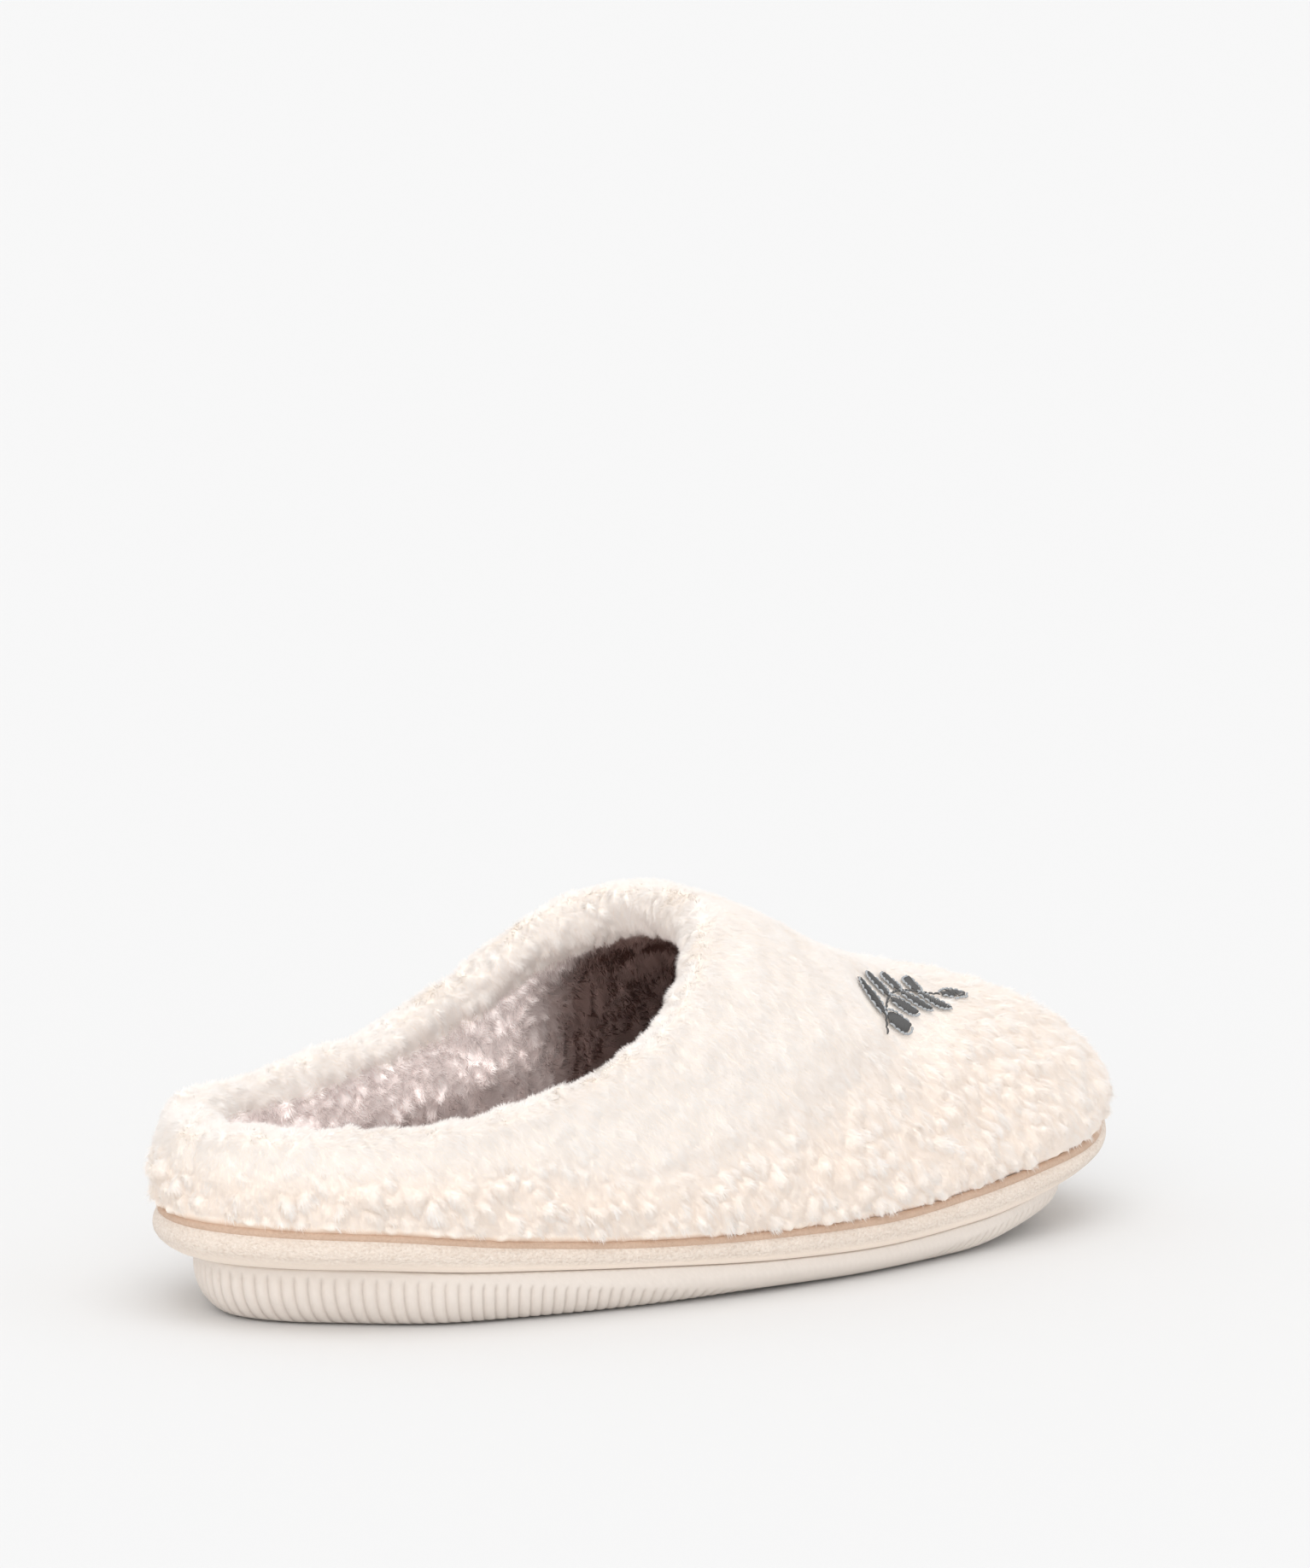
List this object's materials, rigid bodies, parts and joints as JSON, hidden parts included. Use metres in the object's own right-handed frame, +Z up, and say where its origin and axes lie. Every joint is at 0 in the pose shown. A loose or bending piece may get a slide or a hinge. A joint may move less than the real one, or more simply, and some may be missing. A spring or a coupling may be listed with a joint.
{
  "type": "scuff slipper",
  "caption": "Right-foot scuff slipper with a low heel collar: fleece upper, plush lining and insole, cloth-wrapped footbed and ribbed outsole.",
  "frame": {"origin": "on the floor, under the middle of the slipper's length and width", "axes": "+Z up, +X from the heel to the toe, +Y towards the medial side"},
  "size_m": [0.2632, 0.1016, 0.0798],
  "materials": {
    "outsole": "matt pale beige rubber with moulded ribs and a fine woven texture",
    "footbed_wrap": "fine cream jersey wrapped round the footbed's edge",
    "fleece": "cream sherpa pile, lined with mauve plush",
    "insole_plush": "mauve plush pile"
  },
  "bodies": {
    "root": {"outsole": "outsole", "footbed": "footbed_wrap", "upper": "fleece", "insole": "insole_plush"}
  },
  "joints": []
}
